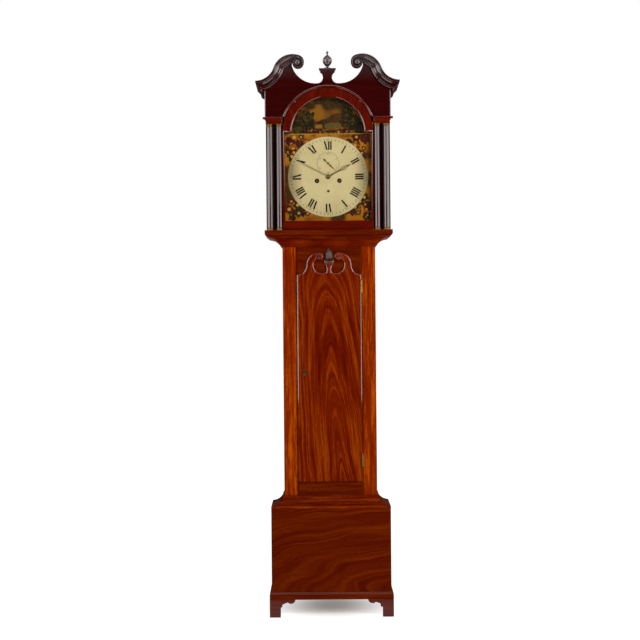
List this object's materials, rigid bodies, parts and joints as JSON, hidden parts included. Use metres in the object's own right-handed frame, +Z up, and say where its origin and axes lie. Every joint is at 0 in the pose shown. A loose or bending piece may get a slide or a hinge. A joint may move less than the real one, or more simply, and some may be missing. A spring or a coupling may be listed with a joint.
{
  "type": "longcase clock",
  "caption": "Mahogany longcase clock with swan-neck pediment, paired hood columns, painted break-arch dial, shaped trunk door, weights, pendulum and bracket feet.",
  "frame": {"origin": "middle of the floor under the clock's outline", "axes": "+Z up, +Y to the back (wall), +X to the viewer's right"},
  "size_m": [0.5348, 0.298, 2.1086],
  "materials": {
    "mahogany": "french polished",
    "dark_mahogany": "french polished",
    "pine": "plain planed",
    "brass": "lacquered",
    "bell_metal": "bright turned",
    "steel": "polished",
    "blued_steel": "browned",
    "iron": "painted",
    "painted_dial": "aged cream paint",
    "glass": "clear",
    "gut": "twisted gut"
  },
  "bodies": {
    "case": {"backboard": "pine", "trunk_sides": "mahogany", "trunk_stiles": "mahogany", "trunk_rails": "mahogany", "throat_moulding": "dark_mahogany", "base_front": "mahogany", "base_sides": "mahogany", "base_floor": "pine", "base_moulding": "mahogany", "plinth_moulding": "dark_mahogany", "bracket_feet": "dark_mahogany", "seat_board": "pine", "trunk_frame_hinges": "brass", "dial_plate": "painted_dial", "movement_frame": "brass", "back_cock": "brass", "bell": "bell_metal", "bell_stand": "steel", "going_line": "gut", "strike_line": "gut"},
    "trunk_door": {"trunk_door": "mahogany", "door_carving": "dark_mahogany", "trunk_door_hinges": "brass", "trunk_lock": "brass"},
    "lock_bolt": {"trunk_lock_bolt": "steel"},
    "hood": {"hood_base_frame": "dark_mahogany", "hood_sides": "dark_mahogany", "hood_stiles": "dark_mahogany", "hood_roof": "pine", "column_blocks": "dark_mahogany", "hood_columns": "dark_mahogany", "column_brasses": "brass", "hood_fascia": "dark_mahogany", "arch_bead": "dark_mahogany", "swan_neck_left": "dark_mahogany", "swan_neck_right": "dark_mahogany", "cornice_returns": "dark_mahogany", "finial": "dark_mahogany", "hood_door_pivots": "brass"},
    "hood_door": {"hood_door_frame": "dark_mahogany", "hood_glass": "glass"},
    "center": {"center_wheel": "brass", "minute_hand": "blued_steel"},
    "hour": {"hour_wheel": "brass", "hour_hand": "blued_steel"},
    "third": {"third_wheel": "brass"},
    "escape": {"escape_wheel": "brass", "seconds_hand": "blued_steel"},
    "great": {"great_wheel": "brass"},
    "minute_work": {"minute_wheel": "brass"},
    "pallet_body": {"pallets": "steel"},
    "pendulum": {"pendulum_rod": "steel", "pendulum_bob": "brass"},
    "going_drum": {"going_barrel": "brass"},
    "strike_drum": {"strike_barrel": "brass"},
    "going_load": {"going_weight": "iron"},
    "strike_load": {"strike_weight": "iron"},
    "going_block": {"going_pulley": "brass"},
    "strike_block": {"strike_pulley": "brass"},
    "hammer_body": {"hammer": "steel"}
  },
  "joints": [
    {"name": "hood_slide", "type": "slide", "parent": "case", "child": "hood", "axis": [0, -1, 0], "range_m": [0, 0.28]},
    {"name": "hood_door_swing", "type": "hinge", "parent": "hood", "child": "hood_door", "pos_m": [0.1672, -0.1145, 1.62], "axis": [0, 0, 1], "range_deg": [0, 95]},
    {"name": "trunk_door_swing", "type": "hinge", "parent": "case", "child": "trunk_door", "pos_m": [0.1205, -0.0558, 0.905], "axis": [0, 0, 1], "range_deg": [0, 115]},
    {"name": "lock_throw", "type": "slide", "parent": "trunk_door", "child": "lock_bolt", "axis": [-1, 0, 0], "range_m": [0, 0.006]},
    {"name": "minute_turn", "type": "hinge", "parent": "case", "child": "center", "pos_m": [0, -0.063, 1.642], "axis": [0, 1, 0], "continuous": true},
    {"name": "hour_turn", "type": "hinge", "parent": "case", "child": "hour", "pos_m": [0, -0.063, 1.642], "axis": [0, 1, 0], "continuous": true},
    {"name": "third_turn", "type": "hinge", "parent": "case", "child": "third", "pos_m": [-0.01403, -0.006, 1.66919], "axis": [0, 1, 0], "continuous": true},
    {"name": "escape_turn", "type": "hinge", "parent": "case", "child": "escape", "pos_m": [0, -0.006, 1.692], "axis": [0, 1, 0], "continuous": true},
    {"name": "great_turn", "type": "hinge", "parent": "case", "child": "great", "pos_m": [0.042, 0.022, 1.627], "axis": [0, 1, 0], "continuous": true},
    {"name": "minute_wheel_turn", "type": "hinge", "parent": "case", "child": "minute_work", "pos_m": [0, -0.043, 1.612], "axis": [0, 1, 0], "continuous": true},
    {"name": "pendulum_swing", "type": "hinge", "parent": "case", "child": "pendulum", "pos_m": [0, 0.068, 1.72], "axis": [0, 1, 0], "range_deg": [-2.5, 2.5]},
    {"name": "pallet_rock", "type": "hinge", "parent": "case", "child": "pallet_body", "pos_m": [0, 0.006, 1.72], "axis": [0, 1, 0], "range_deg": [-2.5, 2.5]},
    {"name": "hammer_lift", "type": "hinge", "parent": "case", "child": "hammer_body", "pos_m": [-0.064, -0.003, 1.69], "axis": [0, 1, 0], "range_deg": [-7, 0], "stiffness_Nm_per_rad": 0.25, "springref_deg": 5.73},
    {"name": "going_weight_rise", "type": "slide", "parent": "case", "child": "going_load", "axis": [0, 0, 1], "range_m": [0, 1], "deforming": ["going_line"]},
    {"name": "going_barrel_turn", "type": "hinge", "parent": "case", "child": "going_drum", "pos_m": [0.042, -0.003, 1.627], "axis": [0, 1, 0], "range_deg": [0, 5260]},
    {"name": "going_pulley_turn", "type": "hinge", "parent": "going_load", "child": "going_block", "pos_m": [0.0382, -0.003, 0.416], "axis": [0, 1, 0], "range_deg": [0, 3190]},
    {"name": "strike_weight_rise", "type": "slide", "parent": "case", "child": "strike_load", "axis": [0, 0, 1], "range_m": [0, 1], "deforming": ["strike_line"]},
    {"name": "strike_barrel_turn", "type": "hinge", "parent": "case", "child": "strike_drum", "pos_m": [-0.042, -0.003, 1.627], "axis": [0, 1, 0], "range_deg": [0, 5260]},
    {"name": "strike_pulley_turn", "type": "hinge", "parent": "strike_load", "child": "strike_block", "pos_m": [-0.0458, -0.003, 0.416], "axis": [0, 1, 0], "range_deg": [0, 3190]}
  ],
  "couplings": [
    {"joint": "hour_turn", "follows": "minute_turn", "ratio": 0.083333},
    {"joint": "third_turn", "follows": "minute_turn", "ratio": -7.5},
    {"joint": "escape_turn", "follows": "minute_turn", "ratio": 60},
    {"joint": "great_turn", "follows": "minute_turn", "ratio": -0.083333},
    {"joint": "minute_wheel_turn", "follows": "minute_turn", "ratio": -1},
    {"joint": "pallet_rock", "follows": "pendulum_swing", "ratio": 1},
    {"joint": "going_barrel_turn", "follows": "going_weight_rise", "rad_per_m": 91.743},
    {"joint": "going_pulley_turn", "follows": "going_weight_rise", "rad_per_m": 55.556},
    {"joint": "strike_barrel_turn", "follows": "strike_weight_rise", "rad_per_m": 91.743},
    {"joint": "strike_pulley_turn", "follows": "strike_weight_rise", "rad_per_m": 55.556}
  ]
}
